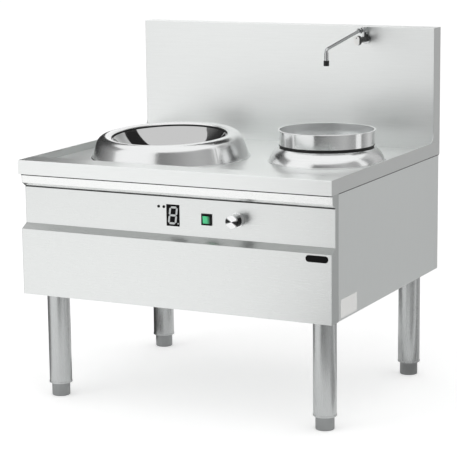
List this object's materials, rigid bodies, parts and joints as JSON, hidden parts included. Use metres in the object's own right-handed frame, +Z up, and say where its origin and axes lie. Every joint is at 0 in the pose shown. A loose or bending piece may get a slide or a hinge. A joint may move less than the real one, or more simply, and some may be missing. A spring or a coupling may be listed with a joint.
{
  "type": "induction wok range",
  "caption": "Free-standing steel induction range: sunken glass wok bowl, lift-out soup pot in a raised ring, backsplash with swinging tap, knob and switch panel, levelling legs.",
  "frame": {"origin": "on the floor, under the middle of the bounding box", "axes": "+X to the right seen from the front, +Y to the back, +Z up"},
  "size_m": [1.1, 0.931, 1.185],
  "materials": {
    "casing_steel": "fine grain, drawn side to side",
    "panel_steel": "fine grain, drawn side to side",
    "side_steel": "fine grain, drawn upright",
    "ring_steel": "spun and polished",
    "pot_steel": "satin, spun",
    "leg_steel": "satin tube",
    "foot_steel": "turned",
    "frame_steel": "zinc grey",
    "bowl_glass": "black glass ceramic, polished",
    "seal_rubber": "moulded",
    "copper_winding": "lacquered copper wire",
    "cradle_plastic": "heat-proof moulding",
    "ferrite": "sintered",
    "sensor_brass": "turned",
    "display_black": "smoked window",
    "black_plastic": "moulded",
    "green_lens": "clear green moulding",
    "knob_black": "fluted moulding",
    "knob_chrome": "turned and plated",
    "shaft_steel": "ground",
    "encoder_case": "pressed",
    "circuit_board": "glass-fibre laminate",
    "unit_case": "zinc-plated sheet",
    "sink_aluminium": "extruded",
    "fan_plastic": "moulded",
    "terminal_plastic": "moulded",
    "tap_chrome": "plated brass",
    "handle_black": "moulded",
    "cap_white": "moulded",
    "badge_black": "printed blank plate",
    "label_white": "blank film",
    "zinc_screw": "zinc plated"
  },
  "bodies": {
    "range": {"worktop": "casing_steel", "backsplash": "casing_steel", "backsplash_cover": "casing_steel", "side_panel_left": "side_steel", "side_panel_right": "side_steel", "front_cheek_left": "side_steel", "front_cheek_right": "side_steel", "apron_strip": "panel_steel", "control_panel": "panel_steel", "lower_front_panel": "panel_steel", "rear_panel": "casing_steel", "bottom_panel": "casing_steel", "base_frame": "frame_steel", "leg_sockets": "frame_steel", "wok_ring": "ring_steel", "glass_bowl": "bowl_glass", "bowl_seal": "seal_rubber", "wok_coil": "copper_winding", "wok_coil_cradle": "cradle_plastic", "ferrite_bars": "ferrite", "bowl_sensor": "sensor_brass", "pot_collar": "ring_steel", "pot_seal": "seal_rubber", "pot_ring": "ring_steel", "pot_coil": "copper_winding", "pot_coil_cradle": "cradle_plastic", "display_window": "display_black", "indicator_lenses": "black_plastic", "switch_housing": "black_plastic", "encoder": "encoder_case", "control_board": "circuit_board", "power_unit_case": "unit_case", "heat_sink": "sink_aluminium", "fan_frame": "fan_plastic", "terminal_block": "terminal_plastic", "cable_gland": "black_plastic", "tap_body": "tap_chrome", "supply_pipe": "sensor_brass", "name_badge": "badge_black", "rating_plate": "label_white", "panel_screws": "zinc_screw", "leg_front_left": "leg_steel", "leg_front_right": "leg_steel", "leg_rear_left": "leg_steel", "leg_rear_right": "leg_steel"},
    "knob": {"knob": "knob_black", "knob_cap": "knob_chrome", "knob_shaft": "shaft_steel"},
    "rocker": {"rocker_button": "green_lens"},
    "tap_handle": {"tap_handle": "handle_black", "tap_cap": "cap_white"},
    "spout": {"spout_pipe": "tap_chrome", "swivel_nut": "tap_chrome", "aerator": "black_plastic"},
    "soup_pot": {"soup_pot": "pot_steel"},
    "fan": {"fan_rotor": "fan_plastic"},
    "foot_front_left": {"foot_front_left": "foot_steel"},
    "foot_front_right": {"foot_front_right": "foot_steel"},
    "foot_rear_left": {"foot_rear_left": "foot_steel"},
    "foot_rear_right": {"foot_rear_right": "foot_steel"}
  },
  "joints": [
    {"name": "knob_turn", "type": "hinge", "parent": "range", "child": "knob", "pos_m": [0.222, -0.4545, 0.654], "axis": [0, 1, 0], "range_deg": [0, 270]},
    {"name": "rocker_press", "type": "hinge", "parent": "range", "child": "rocker", "pos_m": [0.114, -0.416, 0.6465], "axis": [-1, 0, 0], "range_deg": [0, 12]},
    {"name": "tap_handle_turn", "type": "hinge", "parent": "range", "child": "tap_handle", "pos_m": [0.305, 0.3555, 1.1425], "axis": [0, 1, 0], "range_deg": [0, 90]},
    {"name": "spout_swing", "type": "hinge", "parent": "range", "child": "spout", "pos_m": [0.305, 0.3925, 1.1725], "axis": [0, 0, 1], "range_deg": [-80, 80]},
    {"name": "soup_pot_lift", "type": "slide", "parent": "range", "child": "soup_pot", "axis": [0, 0, 1], "range_m": [0, 0.23]},
    {"name": "fan_spin", "type": "hinge", "parent": "range", "child": "fan", "pos_m": [0.04, 0.3255, 0.441], "axis": [0, 1, 0], "continuous": true},
    {"name": "foot_front_left_screw", "type": "slide", "parent": "range", "child": "foot_front_left", "axis": [0, 0, -1], "range_m": [0, 0.04]},
    {"name": "foot_front_right_screw", "type": "slide", "parent": "range", "child": "foot_front_right", "axis": [0, 0, -1], "range_m": [0, 0.04]},
    {"name": "foot_rear_left_screw", "type": "slide", "parent": "range", "child": "foot_rear_left", "axis": [0, 0, -1], "range_m": [0, 0.04]},
    {"name": "foot_rear_right_screw", "type": "slide", "parent": "range", "child": "foot_rear_right", "axis": [0, 0, -1], "range_m": [0, 0.04]}
  ]
}
